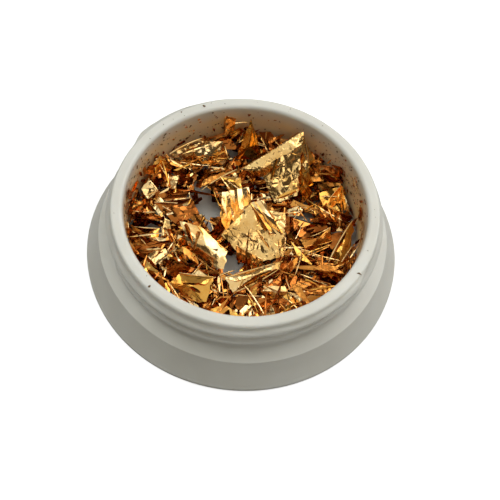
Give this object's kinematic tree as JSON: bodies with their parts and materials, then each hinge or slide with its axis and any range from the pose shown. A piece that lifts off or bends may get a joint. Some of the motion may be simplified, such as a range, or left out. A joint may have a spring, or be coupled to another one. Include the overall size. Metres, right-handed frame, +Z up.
{
  "type": "sample pot",
  "caption": "Small open screw-neck sample pot with a flared base, holding loose crumpled flakes of gold-coloured metallic foil.",
  "frame": {"origin": "centre of the pot, on the surface it stands on", "axes": "+Z up along the pot axis, out of its mouth; -Y towards the viewer, +X to the viewer's right"},
  "size_m": [0.033, 0.033, 0.0086],
  "materials": {
    "pot_plastic": "satin, slightly translucent white moulded polypropylene",
    "foil": "bright crumpled leaf, rose-gold to amber"
  },
  "bodies": {
    "pot": {"pot": "pot_plastic"},
    "foil_bed": {"sliver_01": "foil", "sliver_02": "foil", "sliver_03": "foil", "sliver_04": "foil", "sliver_05": "foil", "sliver_06": "foil", "sliver_07": "foil", "sliver_08": "foil", "sliver_09": "foil", "sliver_10": "foil", "sliver_11": "foil", "sliver_12": "foil", "small_flake_01": "foil", "small_flake_02": "foil", "small_flake_03": "foil", "small_flake_04": "foil", "small_flake_05": "foil", "small_flake_06": "foil", "small_flake_07": "foil", "small_flake_08": "foil", "small_flake_09": "foil", "small_flake_10": "foil", "small_flake_11": "foil", "small_flake_12": "foil", "small_flake_13": "foil", "small_flake_14": "foil", "small_flake_15": "foil", "small_flake_16": "foil", "small_flake_17": "foil", "small_flake_18": "foil", "small_flake_19": "foil", "small_flake_20": "foil", "small_flake_21": "foil", "small_flake_22": "foil", "small_flake_23": "foil", "small_flake_24": "foil", "small_flake_25": "foil", "small_flake_26": "foil"},
    "dark_flake_left": {"dark_flake_left": "foil"},
    "low_flake_left": {"low_flake_left": "foil"},
    "flat_flake_front": {"flat_flake_front": "foil"},
    "front_flake_right": {"front_flake_right": "foil"},
    "middle_flake_right": {"middle_flake_right": "foil"},
    "rolled_flake_back": {"rolled_flake_back": "foil"},
    "long_flake_left": {"long_flake_left": "foil"},
    "wall_flake": {"wall_flake": "foil"},
    "spike_flake": {"spike_flake": "foil"},
    "kite_flake": {"kite_flake": "foil"},
    "crumpled_flake_left": {"crumpled_flake_left": "foil"},
    "long_flake_front": {"long_flake_front": "foil"},
    "upright_flake_right": {"upright_flake_right": "foil"},
    "fan_flake_right": {"fan_flake_right": "foil"},
    "square_flake_left": {"square_flake_left": "foil"},
    "middle_flake_left": {"middle_flake_left": "foil"},
    "large_folded_flake": {"large_folded_flake": "foil"}
  },
  "joints": [
    {"name": "foil_bed_lift", "type": "slide", "parent": "pot", "child": "foil_bed", "axis": [0, 0, 1], "range_m": [0, 0.012]},
    {"name": "dark_flake_left_lift", "type": "slide", "parent": "foil_bed", "child": "dark_flake_left", "axis": [0, 0, 1], "range_m": [0, 0.01]},
    {"name": "low_flake_left_lift", "type": "slide", "parent": "foil_bed", "child": "low_flake_left", "axis": [0, 0, 1], "range_m": [0, 0.01]},
    {"name": "flat_flake_front_lift", "type": "slide", "parent": "foil_bed", "child": "flat_flake_front", "axis": [0, 0, 1], "range_m": [0, 0.01]},
    {"name": "front_flake_right_lift", "type": "slide", "parent": "foil_bed", "child": "front_flake_right", "axis": [0, 0, 1], "range_m": [0, 0.01]},
    {"name": "middle_flake_right_lift", "type": "slide", "parent": "foil_bed", "child": "middle_flake_right", "axis": [0, 0, 1], "range_m": [0, 0.01]},
    {"name": "rolled_flake_back_lift", "type": "slide", "parent": "foil_bed", "child": "rolled_flake_back", "axis": [0, 0, 1], "range_m": [0, 0.01]},
    {"name": "long_flake_left_lift", "type": "slide", "parent": "foil_bed", "child": "long_flake_left", "axis": [0, 0, 1], "range_m": [0, 0.01]},
    {"name": "wall_flake_lift", "type": "slide", "parent": "foil_bed", "child": "wall_flake", "axis": [0, 0, 1], "range_m": [0, 0.01]},
    {"name": "spike_flake_lift", "type": "slide", "parent": "foil_bed", "child": "spike_flake", "axis": [0, 0, 1], "range_m": [0, 0.01]},
    {"name": "kite_flake_lift", "type": "slide", "parent": "foil_bed", "child": "kite_flake", "axis": [0, 0, 1], "range_m": [0, 0.01]},
    {"name": "crumpled_flake_left_lift", "type": "slide", "parent": "foil_bed", "child": "crumpled_flake_left", "axis": [0, 0, 1], "range_m": [0, 0.01]},
    {"name": "long_flake_front_lift", "type": "slide", "parent": "foil_bed", "child": "long_flake_front", "axis": [0, 0, 1], "range_m": [0, 0.01]},
    {"name": "upright_flake_right_lift", "type": "slide", "parent": "foil_bed", "child": "upright_flake_right", "axis": [0, 0, 1], "range_m": [0, 0.01]},
    {"name": "fan_flake_right_lift", "type": "slide", "parent": "foil_bed", "child": "fan_flake_right", "axis": [0, 0, 1], "range_m": [0, 0.01]},
    {"name": "square_flake_left_lift", "type": "slide", "parent": "foil_bed", "child": "square_flake_left", "axis": [0, 0, 1], "range_m": [0, 0.01]},
    {"name": "middle_flake_left_lift", "type": "slide", "parent": "long_flake_left", "child": "middle_flake_left", "axis": [0, 0, 1], "range_m": [0, 0.01]},
    {"name": "large_folded_flake_lift", "type": "slide", "parent": "foil_bed", "child": "large_folded_flake", "axis": [0, 0, 1], "range_m": [0, 0.01]}
  ]
}
